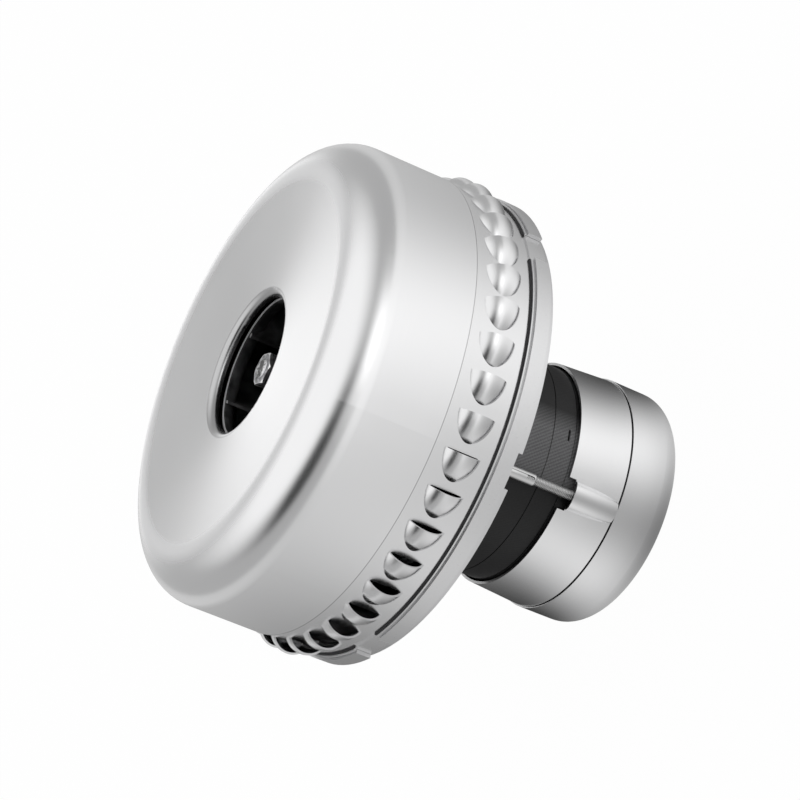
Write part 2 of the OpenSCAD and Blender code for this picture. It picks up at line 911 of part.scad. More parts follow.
// A channel's round shape, kept to the outer half of the sleeve above height z0
module channel(r, z0) {
    intersection() {
        on_channel()
            translate([0, 0, -sleeve_h / 2])
                cylinder(r = r, h = 2 * sleeve_h);
        translate([frame_r / 2, -2 * channel_r, z0])
            cube([frame_r, 4 * channel_r, sleeve_h]);
    }
}

module motor_sleeve() {
    z_foot = z_sleeve + seam_gap;
    color("silver")
        difference() {
            union() {
                difference() {
                    sleeve_cone(0, z_foot, z_rim);
                    sleeve_cone(sleeve_wall, z_sleeve - cut, z_rim + cut);
                }
                difference() {
                    around(2)
                        channel(channel_r, z_foot);
                    sleeve_cone(sleeve_wall / 2, z_sleeve - cut, z_rim + cut);
                }
            }
            around(2) {
                channel(channel_r - sleeve_wall, z_foot + 1);
                above_mouth(frame_r / 2, 0, channel_r + 0.6);
            }
        }
}

module end_cap() {
    color("silver")
        difference() {
            rotate_extrude()
                difference() {
                    union() {
                        translate([0, cap_corner])
                            square([cap_r, cap_h - cap_corner]);
                        square([cap_r - cap_corner, cap_corner + 0.01]);
                        intersection() {
                            translate([cap_r - cap_corner, cap_corner])
                                circle(r = cap_corner);
                            translate([cap_r - cap_corner - 0.01, 0])
                                square([cap_corner + 1, cap_corner + 0.01]);
                        }
                    }
                    translate([0, cap_corner])
                        square([cap_in_r, cap_h]);
                    translate([0, cap_wall])
                        square([cap_r - cap_corner, cap_h]);
                    translate([cap_r - cap_corner, cap_corner])
                        circle(r = cap_corner - cap_wall);
                }
            around(vent_count)
                translate([15, 0, -cut])
                    linear_extrude(cap_wall + 2 * cut) {
                        translate([0, -vent_w / 2])
                            square([18, vent_w]);
                        circle(r = vent_w / 2);
                        translate([18, 0])
                            circle(r = vent_w / 2);
                    }
        }
}

// A deep-groove ball bearing's rings and its caged balls, standing on height z
module bearing_outer(z) {
    tube_cut = ball_d / 2 + 0.03;
    color("lightsteelblue")
        rotate_extrude()
            difference() {
                translate([race_out_r, z])
                    square([bearing_d / 2 - seat / 2 - race_out_r, bearing_w]);
                translate([pitch_r, z + bearing_w / 2])
                    circle(r = tube_cut);
            }
}

module bearing_inner(z) {
    tube_cut = ball_d / 2 + 0.03;
    color("lightsteelblue")
        rotate_extrude()
            difference() {
                translate([shaft_r + seat / 2, z])
                    square([race_in_r - shaft_r - seat / 2, bearing_w]);
                translate([pitch_r, z + bearing_w / 2])
                    circle(r = tube_cut);
            }
}

module bearing_balls(z) {
    color("white") {
        around(ball_count)
            translate([pitch_r, 0, z + bearing_w / 2])
                sphere(r = ball_d / 2, $fn = 32);
        tube(pitch_r + 0.6, pitch_r - 0.6, z + bearing_w / 2 - 1, z + bearing_w / 2 + 1);
    }
}

module front_bearing_outer() {
    bearing_outer(z_front_bearing);
}

module front_bearing_inner() {
    bearing_inner(z_front_bearing);
}

module front_bearing_balls() {
    bearing_balls(z_front_bearing);
}

module rear_bearing_outer() {
    bearing_outer(z_rear_bearing);
}

module rear_bearing_inner() {
    bearing_inner(z_rear_bearing);
}

module rear_bearing_balls() {
    bearing_balls(z_rear_bearing);
}

module wave_washer() {
    color("silver")
        tube(bearing_d / 2 - 0.3, race_out_r + 0.1, z_wave, z_rear_bearing);
}

// A brush holder: a brass box from the commutator out to the frame
module brush_holder(a) {
    h = brush_h / 2 + holder_in;
    w = brush_t / 2 + holder_in;
    color("goldenrod")
        rotate([0, 0, a])
            difference() {
                translate([holder_r0, -w - holder_wall, z_brush - h - holder_wall])
                    cube([holder_r1 - holder_r0, 2 * (w + holder_wall), 2 * (h + holder_wall)]);
                translate([holder_r0 - cut, -w, z_brush - h])
                    cube([holder_r1 - holder_r0 + 2 * cut, 2 * w, 2 * h]);
            }
}

module brush_holder_a() {
    brush_holder(90);
}

module brush_holder_b() {
    brush_holder(270);
}

// The cap that closes a brush holder's outer end
module brush_cap(a) {
    color("goldenrod")
        rotate([0, 0, a])
            translate([holder_r1 - cap_plug_t, -brush_t / 2 - 0.05, z_brush - brush_h / 2 - 0.05])
                cube([cap_plug_t, brush_t + 0.1, brush_h + 0.1]);
}

module brush_cap_a() {
    brush_cap(90);
}

module brush_cap_b() {
    brush_cap(270);
}

// A brush with its end hollowed to the commutator
module carbon_brush(a) {
    color("dimgray")
        rotate([0, 0, a])
            difference() {
                translate([brush_face - 1, -brush_t / 2, z_brush - brush_h / 2])
                    cube([brush_l + 1, brush_t, brush_h]);
                disc(brush_face, z_brush - brush_h, z_brush + brush_h);
            }
}

module carbon_brush_a() {
    carbon_brush(90);
}

module carbon_brush_b() {
    carbon_brush(270);
}

// A brush spring as the sleeve that its turns fill, from the brush to the cap
module brush_spring(a) {
    color("silver")
        rotate([0, 0, a])
            translate([brush_face + brush_l, 0, z_brush])
                rotate([0, 90, 0])
                    difference() {
                        cylinder(r = 2.7, h = holder_r1 - cap_plug_t - brush_face - brush_l);
                        translate([0, 0, -cut])
                            cylinder(r = 2.1, h = frame_r);
                    }
}

module brush_spring_a() {
    brush_spring(90);
}

module brush_spring_b() {
    brush_spring(270);
}

// The stepped shaft: bearing seats at both ends of a thicker middle
module rotor_shaft() {
    end_chamfer = 0.6;
    color("lightgray")
        rotate_extrude()
            polygon([
                [0, z_shaft_end],
                [shaft_r - end_chamfer, z_shaft_end],
                [shaft_r, z_shaft_end + end_chamfer],
                [shaft_r, z_rear_boss_top],
                [core_shaft_r, z_rear_boss_top],
                [core_shaft_r, z_front_bearing],
                [shaft_r, z_front_bearing],
                [shaft_r, z_shaft_tip - end_chamfer],
                [shaft_r - end_chamfer, z_shaft_tip],
                [0, z_shaft_tip]
            ]);
}

// The armature's stack with its slots
module armature_core() {
    slot_r = armature_r - 1;
    color("slategray")
        translate([0, 0, z_stack])
            linear_extrude(stack_l)
                difference() {
                    circle(r = armature_r);
                    circle(r = core_shaft_r + seat);
                    around(armature_slots) {
                        translate([slot_in_r, -slot_half])
                            square([slot_r - slot_in_r, 2 * slot_half]);
                        translate([slot_r - 0.5, -0.6])
                            square([3, 1.2]);
                    }
                }
}

// The armature's winding: a bar in every slot and a rounded coil head at each end
module armature_windings() {
    out_r = armature_r - 2.2;
    color("chocolate") {
        rotate_extrude() {
            head_section(core_shaft_r + 1, out_r, z_stack - winding_end, z_stack);
            head_section(core_shaft_r + 1, out_r, z_stack_top, z_stack_top + winding_top);
        }
        around(armature_slots)
            translate([slot_in_r + 0.1, -slot_half + 0.1, z_stack - 0.1])
                cube([out_r - slot_in_r - 0.1, 2 * slot_half - 0.2, stack_l + 0.2]);
    }
}

// A coil head's half section: a rectangle with rounded corners
module head_section(r0, r1, z0, z1) {
    c = 2;
    translate([r0, z0 + c])
        square([r1 - r0, z1 - z0 - 2 * c]);
    translate([r0 + c, z0])
        square([r1 - r0 - 2 * c, z1 - z0]);
    for (r = [r0 + c, r1 - c])
        for (z = [z0 + c, z1 - c])
            translate([r, z])
                circle(r = c);
}

// The copper segments with their risers
module commutator() {
    riser_r = comm_r + 2;
    color("peru")
        difference() {
            union() {
                tube(comm_r, comm_r - 3, z_comm, z_comm_top);
                tube(riser_r, comm_r - 3, z_comm_top - 0.1, z_comm_top + 2.5);
            }
            around(armature_slots)
                translate([comm_r - 4, -0.3, z_comm - cut])
                    cube([8, 0.6, z_comm_top - z_comm + 6]);
        }
}

// The moulded hub that holds the segments
module commutator_hub() {
    color("saddlebrown")
        tube(comm_r - 3, core_shaft_r + seat, z_comm, z_comm_top + 2.5);
}

// Spacer on the shaft between the front bearing and the rear impeller
module bearing_bush() {
    color("lightgray")
        tube(core_shaft_r, shaft_r + seat, z_front_bearing + bearing_w, z_rear_imp);
}

// The half section under a shroud's sheet: flat cone, flare and eye, measured from the back plate's foot
module shroud_region(z0, o) {
    slope = 7;
    rim_z = z0 + blade_t + blade_h + shroud_t / cos(slope);
    flare_at = eye_r + flare_r;
    flare_z = rim_z + (imp_r - flare_at) * tan(slope) + flare_r / cos(slope);
    end_r = o > 0 ? imp_r + cut : imp_r;
    end_z = rim_z - (end_r - imp_r) * tan(slope) - o / cos(slope);
    foot_z = o > 0 ? z0 - cut : z0;
    top_z = o > 0 ? z0 + imp_h + cut : z0 + imp_h;
    difference() {
        polygon([
            [0, foot_z],
            [end_r, foot_z],
            [end_r, end_z],
            [flare_at - (flare_r + o) * sin(slope), flare_z - (flare_r + o) * cos(slope)],
            [flare_at, flare_z],
            [eye_r - o, flare_z],
            [eye_r - o, top_z],
            [0, top_z]
        ]);
        translate([flare_at, flare_z])
            circle(r = flare_r + o);
    }
}

// The flat back plate of an impeller whose foot is at height z0
module impeller_plate(z0) {
    color("gainsboro")
        tube(imp_r, shaft_r + seat, z0, z0 + blade_t);
}

// The half section that the blades fill, just under the shroud, with the flare as short chords
module blade_region(z0) {
    slope = 7;
    o = shroud_t + 0.02;
    rim_z = z0 + blade_t + blade_h + shroud_t / cos(slope);
    flare = [eye_r + flare_r, rim_z + (imp_r - eye_r - flare_r) * tan(slope) + flare_r / cos(slope)];
    chords = [for (i = [0 : 4]) flare - polar(flare_r + o + 0.1, (4 - i) * (90 - slope) / 4)];
    polygon(concat(
        [[0, z0], [imp_r + cut, z0], [imp_r + cut, rim_z - (cut * sin(slope) + o) / cos(slope)]],
        chords,
        [[eye_r - o, z0 + imp_h], [0, z0 + imp_h]]));
}

// An impeller's curved blades, cut to the space under its shroud
module impeller_blades(z0) {
    inner_r = eye_r - shroud_t - 0.9;
    color("gainsboro")
        around(blade_count, blade_start)
            intersection() {
                translate([0, 0, z0 + blade_t])
                    linear_extrude(imp_h - blade_t - 0.8)
                        blade_outline(inner_r, imp_r - 0.5, blade_curve, blade_curve - 10, blade_t);
                rotate_extrude()
                    blade_region(z0);
            }
}

// An impeller's shroud: a cone that flares up into the eye
module impeller_shroud(z0) {
    color("gainsboro")
        rotate_extrude()
            difference() {
                shroud_region(z0, 0);
                shroud_region(z0, shroud_t);
            }
}

module rear_impeller_plate() {
    impeller_plate(z_rear_imp);
}

module rear_impeller_blades() {
    impeller_blades(z_rear_imp);
}

module rear_impeller_shroud() {
    impeller_shroud(z_rear_imp);
}

// Spacer between the two impellers
module impeller_spacer() {
    color("lightgray")
        tube(hub_r, shaft_r + seat, z_rear_imp + blade_t, z_front_imp);
}

module front_impeller_plate() {
    impeller_plate(z_front_imp);
}

module front_impeller_blades() {
    impeller_blades(z_front_imp);
}

module front_impeller_shroud() {
    impeller_shroud(z_front_imp);
}

// Spacer from the front impeller's plate up to the washer
module front_bush() {
    color("lightgray")
        tube(hub_r, shaft_r + seat, z_front_imp + blade_t, z_nut - washer_h);
}

// Washer under the fan nut
module fan_washer() {
    color("lightgray")
        tube(nut_af / 2 + 2, shaft_r + seat, z_nut - washer_h, z_nut);
}

// A hexagonal nut with its outer corners chamfered
module nut(af, h) {
    corner = af / sqrt(3);
    intersection() {
        difference() {
            linear_extrude(h)
                polygon([for (i = [0 : 5]) polar(corner, 60 * i)]);
            translate([0, 0, -cut])
                cylinder(r = shaft_r + seat / 2, h = h + 2 * cut);
        }
        translate([0, 0, -0.01])
            cylinder(r1 = corner + (h - 0.8) * 1.7, r2 = corner - 0.65, h = h + 0.01);
    }
}

// The nut seen through the inlet
module fan_nut() {
    color("gray")
        translate([0, 0, z_nut])
            rotate([0, 0, 15.6])
                nut(nut_af, nut_h);
}

// The motor's own cooling fan: a disc and hub with straight blades on the disc
module cooling_fan() {
    z0 = z_cool_top - cool_blade_h - cool_disc_t;
    r1 = cool_d / 2;
    hub = 14;
    blade = 1.6;
    color("dimgray") {
        tube(r1, shaft_r + seat, z0, z0 + cool_disc_t);
        tube(core_shaft_r, shaft_r + seat, z0, z_rear_bearing);
        around(cool_blades)
            translate([hub, -blade / 2, z0 + cool_disc_t])
                cube([r1 - 1 - hub, blade, cool_blade_h]);
    }
}

// The nut that holds the cooling fan
module cooling_fan_nut() {
    z0 = z_cool_top - cool_blade_h - cool_disc_t;
    color("gray")
        translate([0, 0, z0])
            mirror([0, 0, 1])
                nut(nut_af, cool_nut_h);
}

fan_can();
louvre_ring();
stage_plate();
return_guide();
pan_gasket();
mounting_flange();
pan_screws();
front_frame();
rear_frame();
stator_core();
field_coil_a();
field_coil_b();
through_bolts();
bolt_tubes();
motor_sleeve();
end_cap();
terminal_tabs();
front_bearing_outer();
front_bearing_balls();
front_bearing_inner();
rear_bearing_outer();
rear_bearing_balls();
rear_bearing_inner();
wave_washer();
brush_holder_a();
brush_holder_b();
brush_cap_a();
brush_cap_b();
carbon_brush_a();
carbon_brush_b();
brush_spring_a();
brush_spring_b();
rotor_shaft();
armature_core();
armature_windings();
commutator();
commutator_hub();
bearing_bush();
rear_impeller_plate();
rear_impeller_blades();
rear_impeller_shroud();
impeller_spacer();
front_impeller_plate();
front_impeller_blades();
front_impeller_shroud();
front_bush();
fan_washer();
fan_nut();
cooling_fan();
cooling_fan_nut();
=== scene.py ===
"""The vacuum motor unit as photographed: camera, light, the finish of every piece, and the cut threads.

Lengths are metres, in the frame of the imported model: Z is the shaft axis, from the end cap up to the inlet,
and X runs through the two long bolts.
"""

import math

import bmesh
import bpy
import numpy as np
from mathutils import Matrix, Vector


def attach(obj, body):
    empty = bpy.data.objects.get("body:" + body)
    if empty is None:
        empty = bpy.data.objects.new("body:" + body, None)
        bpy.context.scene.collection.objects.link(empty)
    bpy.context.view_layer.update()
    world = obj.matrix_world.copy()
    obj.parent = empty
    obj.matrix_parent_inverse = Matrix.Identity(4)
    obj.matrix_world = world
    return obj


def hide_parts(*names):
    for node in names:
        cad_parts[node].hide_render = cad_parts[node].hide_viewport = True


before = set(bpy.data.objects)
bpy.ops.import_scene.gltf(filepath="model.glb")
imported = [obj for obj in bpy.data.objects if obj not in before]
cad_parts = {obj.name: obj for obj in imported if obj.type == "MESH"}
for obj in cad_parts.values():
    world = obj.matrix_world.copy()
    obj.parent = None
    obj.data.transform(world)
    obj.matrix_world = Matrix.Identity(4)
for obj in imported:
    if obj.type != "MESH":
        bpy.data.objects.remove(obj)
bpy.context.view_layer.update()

# Places and sizes that the looks share with the solids, in metres
CROWN_R = 0.0763
LIP_R = 0.0302
SEAM_Z = 0.1235
RIM_R = 0.0942
FRAME_R = 0.0440
EYE_R = 0.0276
EYE_Z = 0.1604
BLADE_TOP_Z = 0.1596
SHAFT_END_Z = 0.1600
NUT_TOP_Z = 0.1593
NUT_FLAT_R = 0.0060
BRUSH_Z = 0.0393
BRUSH_HALF = 0.0056
TAB_END_R = 0.0400
TAB_Z = 0.0480
BOLT_CIRCLE = 0.0470
BOLT_R = 0.0020
BOLT_END_Z = 0.0372
BOLT_HEAD_Z = 0.0919
THREAD_TOP_Z = 0.0640
THREAD_PITCH = 0.0007
THREAD_DEPTH = 0.00038


# Camera: where the photographer stood, fitted to the outlines of the can, the rim and the end cap

def photo_camera():
    """A camera from its place and its three axes (image right, image up, and back towards the viewer)."""
    place = Vector((0.91364, -0.00113, 0.49072))
    right = Vector((0.36515, 0.37996, -0.84988))
    up = Vector((-0.13988, 0.92495, 0.35342))
    back = Vector((0.92038, -0.01017, 0.39089))
    sensor, focal_pixels, picture_pixels = 36.0, 2600, 800
    lens = bpy.data.cameras.new("photo_camera")
    lens.sensor_fit = "HORIZONTAL"
    lens.sensor_width = sensor
    lens.lens = sensor * focal_pixels / picture_pixels
    lens.clip_start = 0.01
    lens.dof.use_dof = False
    camera = bpy.data.objects.new("photo_camera", lens)
    turn = Matrix((right, up, back)).transposed().to_4x4()
    camera.matrix_world = Matrix.Translation(place) @ turn
    bpy.context.collection.objects.link(camera)
    bpy.context.scene.camera = camera
    return camera


# Shader maths: Python's operators on a Value add Math nodes

class Value:
    """A number that changes over a surface."""

    def __init__(self, nodes, socket):
        self.nodes = nodes
        self.socket = socket

    def __add__(self, other):
        return self.nodes.math("ADD", self, other)

    def __radd__(self, other):
        return self.nodes.math("ADD", other, self)

    def __sub__(self, other):
        return self.nodes.math("SUBTRACT", self, other)

    def __rsub__(self, other):
        return self.nodes.math("SUBTRACT", other, self)

    def __mul__(self, other):
        return self.nodes.math("MULTIPLY", self, other)

    def __rmul__(self, other):
        return self.nodes.math("MULTIPLY", other, self)

    def __truediv__(self, other):
        return self.nodes.math("DIVIDE", self, other)

    def __pow__(self, other):
        return self.nodes.math("POWER", self, other)

    def sin(self):
        return self.nodes.math("SINE", self)

    def abs(self):
        return self.nodes.math("ABSOLUTE", self)

    def clamp(self):
        """The value held between 0 and 1."""
        return self.nodes.math("ADD", self, 0.0, use_clamp=True)

    def below(self, edge, soft):
        """1 under the edge, 0 above it, with a soft step of the given width."""
        return ((edge - self) / soft + 0.5).clamp()

    def above(self, edge, soft):
        """1 over the edge, 0 under it, with a soft step of the given width."""
        return ((self - edge) / soft + 0.5).clamp()

    def near(self, middle, half, soft):
        """1 within half of the middle, falling to 0 outside."""
        return (self - middle).abs().below(half, soft)

    def wave(self, length):
        """A sine wave of that length."""
        return (self * (2 * math.pi / length)).sin()

    def ribs(self, spacing):
        """Rounded ribs from 0 to 1, that far apart."""
        return (self * (math.pi / spacing)).sin().abs()


class Nodes:
    """A shader tree, with the maths that its Values use."""

    def __init__(self, tree, place):
        self.tree = tree
        self.place = self.node("ShaderNodeTexCoord").outputs[place]
        split = self.node("ShaderNodeSeparateXYZ", {}, Vector=self.place)
        self.x, self.y, self.z = (Value(self, split.outputs[i]) for i in range(3))

    def node(self, kind, settings=None, **inputs):
        """Adds a node: its settings first, then the values or links of its sockets."""
        made = self.tree.nodes.new(kind)
        for key, value in (settings or {}).items():
            setattr(made, key, value)
        for key, value in inputs.items():
            self.connect(value, made.inputs[key.replace("_", " ")])
        return made

    def connect(self, value, socket):
        if isinstance(value, Value):
            value = value.socket
        if isinstance(value, bpy.types.NodeSocket):
            self.tree.links.new(value, socket)
        else:
            socket.default_value = value

    def math(self, operation, *values, use_clamp=False):
        made = self.node("ShaderNodeMath", {"operation": operation, "use_clamp": use_clamp})
        for value, socket in zip(values, made.inputs):
            self.connect(value, socket)
        return Value(self, made.outputs[0])

    def combine(self, x, y, z):
        return self.node("ShaderNodeCombineXYZ", {}, X=x, Y=y, Z=z).outputs[0]

    def noise(self, place, scale, detail=2.0, rough=0.5):
        made = self.node("ShaderNodeTexNoise", {},
                         Vector=place, Scale=scale, Detail=detail, Roughness=rough)
        return Value(self, made.outputs["Fac"])

    def radius(self, x=0.0, y=0.0):
        """Distance from the upright line through x, y."""
        return ((self.x - x) ** 2.0 + (self.y - y) ** 2.0) ** 0.5

    def angle(self, x=0.0, y=0.0):
        """Angle around the upright line through x, y, in radians."""
        return self.math("ARCTAN2", self.y - y, self.x - x)

    def lobe(self, degrees, power):
        """1 towards an angle around Z and 0 away from it: ((1 + cos(difference)) / 2) ** power."""
        turn = math.radians(degrees)
        along = self.x * math.cos(turn) + self.y * math.sin(turn)
        towards = along / self.math("MAXIMUM", self.radius(), 0.001)
        return (towards * 0.5 + 0.5).clamp() ** power

    def blend(self, first, second, factor):
        """A colour between two colours."""
        made = self.node("ShaderNodeMix", {"data_type": "RGBA"})
        self.connect(factor, made.inputs[0])
        for colour, socket in ((first, made.inputs[6]), (second, made.inputs[7])):
            self.connect(colour if isinstance(colour, bpy.types.NodeSocket) else (*colour, 1.0), socket)
        return made.outputs[2]

    def ray(self, kind):
        """1 for rays of a kind, such as Is Camera Ray, and 0 for the others."""
        return Value(self, self.node("ShaderNodeLightPath").outputs[kind])


class Finish(Nodes):
    """One material: a Principled shader whose fixed values are set on its own sockets."""

    def __init__(self, name, colour, metallic, roughness, **fixed):
        self.material = bpy.data.materials.new(name)
        self.material.use_nodes = True
        super().__init__(self.material.node_tree, "Object")
        self.shader = self.tree.nodes["Principled BSDF"]
        self.shader.inputs["Base Color"].default_value = (*colour, 1.0)
        self.shader.inputs["Metallic"].default_value = metallic
        self.shader.inputs["Roughness"].default_value = roughness
        for socket, value in fixed.items():
            self.shader.inputs[socket.replace("_", " ")].default_value = value

    def vary(self, colour=None, roughness=None, metallic=None, height=None, depth=0.0001):
        """Links what changes over the surface; height is a Value that a Bump node turns into relief."""
        if colour is not None:
            self.connect(colour, self.shader.inputs["Base Color"])
        if roughness is not None:
            self.connect(roughness, self.shader.inputs["Roughness"])
        if metallic is not None:
            self.connect(metallic, self.shader.inputs["Metallic"])
        if height is not None:
            bump = self.node("ShaderNodeBump", {}, Height=height, Distance=depth, Strength=1.0)
            self.connect(bump.outputs[0], self.shader.inputs["Normal"])
        return self.material


def scaled(colour, k):
    """A colour made k times as light, up to white."""
    return tuple(min(1.0, c * k) for c in colour)


# Finishes

def satin_sheet(name, colour, roughness, seed, shade_and_dull=None):
    """Drawn sheet with a satin zinc finish: faint clouds, and draw rings too fine to see one by one.

    An optional function takes the Finish and returns how much painted shade darkens each place and how much
    rougher each place is.
    """
    f = Finish(name, colour, 1.0, roughness)
    clouds = f.noise(f.place, 22.0 + seed, 3.0)
    rings = f.noise(f.combine(f.radius() * 900.0, f.z * 900.0, float(seed)), 1.0, 2.0)
    specks = f.noise(f.place, 2600.0, 2.0, 0.6)
    tone = (clouds * 0.5 + specks * 0.3 + rings * 0.2).clamp()
    sheet = f.blend(scaled(colour, 0.955), scaled(colour, 1.035), tone)
    # The darker share is painted shade, such as the can's shadow line at its hem and the shade on its inlet lip.
    dark, dull = shade_and_dull(f) if shade_and_dull else (0.0, 0.0)
    return f.vary(
        colour=f.blend(sheet, (0.02, 0.02, 0.02), dark),
        roughness=clouds * 0.06 + specks * 0.04 + (roughness - 0.05) + dull,
        height=specks * 0.6 + rings * 0.4, depth=0.000006)


def can_shade_and_crown(f):
    """Painted shadow in a dark line at the hem where it meets the pan, and painted shade on the rolled lip of
    the inlet; rougher on the crown, drawn over the die.
    """
    hem_shadow = f.z.below(SEAM_Z + 0.0003, 0.0002)
    lip_shade = f.radius().below(LIP_R, 0.0006)
    crown = f.radius().near(CROWN_R, 0.002, 0.006)
    return hem_shadow * 0.5 + lip_shade * 0.38, crown * 0.24


def cast_rim(name, colour, roughness):
    """Die-cast aluminium: a skin with fine pits, and turned lines on the rim."""
    turned_band, feed = 0.0032, 0.00035
    f = Finish(name, colour, 1.0, roughness)
    skin = f.noise(f.place, 900.0, 3.0, 0.6)
    clouds = f.noise(f.place, 30.0, 2.0)
    turned = f.radius().above(RIM_R - turned_band, 0.0004)
    lines = f.z.wave(feed) * turned
    return f.vary(
        colour=f.blend(scaled(colour, 0.9), scaled(colour, 1.05), skin * 0.5 + clouds * 0.5),
        roughness=roughness + 0.08 - turned * 0.1 + skin * 0.08,
        height=skin * (1.15 - turned) + lines * 0.08, depth=0.00003)


def sheet_aluminium(name, colour, roughness):
    """Rolled aluminium sheet with faint rolling lines along X."""
    f = Finish(name, colour, 1.0, roughness)
    rolled = f.noise(f.combine(f.x * 60.0, f.y * 1400.0, f.z * 1400.0), 1.0, 3.0)
    clouds = f.noise(f.place, 40.0, 2.0)
    return f.vary(
        colour=f.blend(scaled(colour, 0.88), scaled(colour, 1.04), rolled * 0.5 + clouds * 0.5),
        roughness=roughness + rolled * 0.12, height=rolled, depth=0.000008)


def impeller_shaded_sheet(name, highlight_colour, shade_colour, roughness):
    """Impeller sheet darkened all over by painted shade, with lighter patches of painted light, and a painted
    highlight in bare metal's colour, less metallic, on the edges of the eye and the blades.
    """
    f = Finish(name, shade_colour, 0.3, roughness)
    cloud = f.noise(f.place, 75.0, 3.0)
    # Painted light: the lighter patches in the painted shade.
    lit_patch = cloud.above(0.56, 0.25)
    # Painted highlight on the eye's rim and on the blades' top edges.
    eye_highlight = f.z.above(EYE_Z - 0.0003, 0.0001)
    blade_highlight = f.z.near(BLADE_TOP_Z, 0.0003, 0.0002) * f.radius().below(EYE_R, 0.0002)
    edge = (eye_highlight + blade_highlight * 0.6).clamp()
    return f.vary(
        colour=f.blend(f.blend(scaled(shade_colour, 0.3), scaled(shade_colour, 3.0), lit_patch), highlight_colour, edge),
        roughness=roughness + cloud * 0.1, metallic=0.3 - edge * 0.25, height=cloud, depth=0.00001)


def black_moulding(name, colour, roughness):
    """Black thermoset with a fine diagonal grain, as from a woven tool face.

    A painted sheen, a dull grey patch of painted light, lies on the outer wall, from the front bolt to a tenth
    of a turn further.
    """
    sheen_start, sheen_end, wall = 0.0, 0.60, 0.0012
    f = Finish(name, colour, 0.0, roughness, Specular_IOR_Level=0.3)
    turn = f.angle()
    along = turn * FRAME_R
    weave = (along + f.z * 0.8).wave(0.0015) * 0.6 + (along * 0.8 - f.z).wave(0.0014) * 0.15
    grain = f.noise(f.place, 1800.0, 3.0, 0.6)
    clouds = f.noise(f.place, 55.0, 3.0)
    outside = f.radius().above(FRAME_R - wall, 0.0004)
    # Painted sheen: a lit grey patch on one side of the outer wall, while the rest stays black.
    painted_sheen = turn.above(sheen_start, 0.02) * turn.below(sheen_end, 0.22) * outside
    sheen_tone = (clouds * 0.5 + grain * 0.5 + weave * 0.25).clamp()
    dull = f.blend((0.05, 0.05, 0.051), (0.24, 0.24, 0.245), sheen_tone)
    black_tone = (clouds * 0.6 + grain * 0.4 + weave * 0.08).clamp()
    black = f.blend(scaled(colour, 0.6), scaled(colour, 1.5), black_tone)
    return f.vary(
        colour=f.blend(black, dull, painted_sheen),
        roughness=roughness - 0.06 + clouds * 0.12,
        height=weave * 0.35 + grain * 0.8, depth=0.00005)


def plain_moulding(name, colour, roughness):
    """Moulded plastic with a fine spark-eroded grain."""
    f = Finish(name, colour, 0.0, roughness)
    grain = f.noise(f.place, 2200.0, 2.0, 0.6)
    clouds = f.noise(f.place, 60.0, 2.0)
    return f.vary(
        colour=f.blend(scaled(colour, 0.8), scaled(colour, 1.3), clouds * 0.6 + grain * 0.4),
        roughness=roughness - 0.05 + clouds * 0.1, height=grain, depth=0.00002)


def gasket_rubber(name):
    """Black rubber sheet with a fine dusty grain."""
    colour = (0.018, 0.018, 0.019)
    f = Finish(name, colour, 0.0, 0.75)
    grain = f.noise(f.place, 1500.0, 3.0, 0.7)
    return f.vary(colour=f.blend(colour, scaled(colour, 2.2), grain), roughness=0.65 + grain * 0.2,
                  height=grain, depth=0.00004)


def plated_screw(name, colour, roughness):
    """Zinc-plated steel with faint streaks along the shank."""
    f = Finish(name, colour, 1.0, roughness)
    streaks = f.noise(f.combine(f.x * 2500.0, f.y * 2500.0, f.z * 90.0), 1.0, 2.0)
    clouds = f.noise(f.place, 300.0, 2.0)
    return f.vary(
        colour=f.blend(scaled(colour, 0.8), scaled(colour, 1.08), streaks * 0.6 + clouds * 0.4),
        roughness=roughness - 0.05 + clouds * 0.12, height=streaks, depth=0.00001)


def plated_nut(name, colour, roughness):
    """A dull plated nut: worn dark in patches on its face, with a painted highlight, near white, on its
    chamfered corners.
    """
    f = Finish(name, colour, 1.0, roughness)
    worn = f.noise(f.place, 420.0, 3.0, 0.6)
    # Painted highlight, near white, on the chamfered top corners.
    chamfer_highlight = f.radius().above(NUT_FLAT_R, 0.0004) * f.z.above(NUT_TOP_Z - 0.0012, 0.0004)
    face = f.blend(scaled(colour, 0.35), scaled(colour, 1.5), worn.above(0.5, 0.35))
    return f.vary(colour=f.blend(face, (0.95, 0.95, 0.95), chamfer_highlight * 0.8),
                  roughness=roughness + worn * 0.2, height=worn, depth=0.00004)


def cut_thread(name, colour, roughness):
    """Plated bolt steel, with painted shade at the bottom of the thread, found by the distance from the nearer
    bolt's axis.
    """
    f = Finish(name, colour, 1.0, roughness)
    from_axis = ((f.x.abs() - BOLT_CIRCLE) ** 2.0 + f.y ** 2.0) ** 0.5
    # Painted shade in the thread's grooves.
    groove = from_axis.below(BOLT_R - 0.00016, 0.00022)
    clouds = f.noise(f.place, 300.0, 2.0)
    steel = f.blend(scaled(colour, 0.85), scaled(colour, 1.15), clouds)
    return f.vary(colour=f.blend(steel, (0.05, 0.05, 0.05), groove * 0.45),
                  roughness=roughness + clouds * 0.1, height=clouds, depth=0.00001)


def ground_steel(name, colour, roughness):
    """Ground bearing steel: fine rings around the shaft axis; the shaft's end by the nut is stained."""
    f = Finish(name, colour, 1.0, roughness)
    rings = f.noise(f.combine(f.radius() * 4000.0, 0.0, f.z * 4000.0), 1.0, 2.0)
    clouds = f.noise(f.place, 120.0, 2.0)
    stain = f.noise(f.place, 520.0, 3.0, 0.7)
    end = f.z.above(SHAFT_END_Z - 0.0002, 0.0001)
    steel = f.blend(scaled(colour, 0.85), scaled(colour, 1.06), rings * 0.5 + clouds * 0.5)
    stained = f.blend((0.05, 0.05, 0.05), (0.8, 0.8, 0.8), stain.above(0.56, 0.16))
    return f.vary(
        colour=f.blend(steel, stained, end),
        roughness=roughness + clouds * 0.08, height=rings, depth=0.000005)


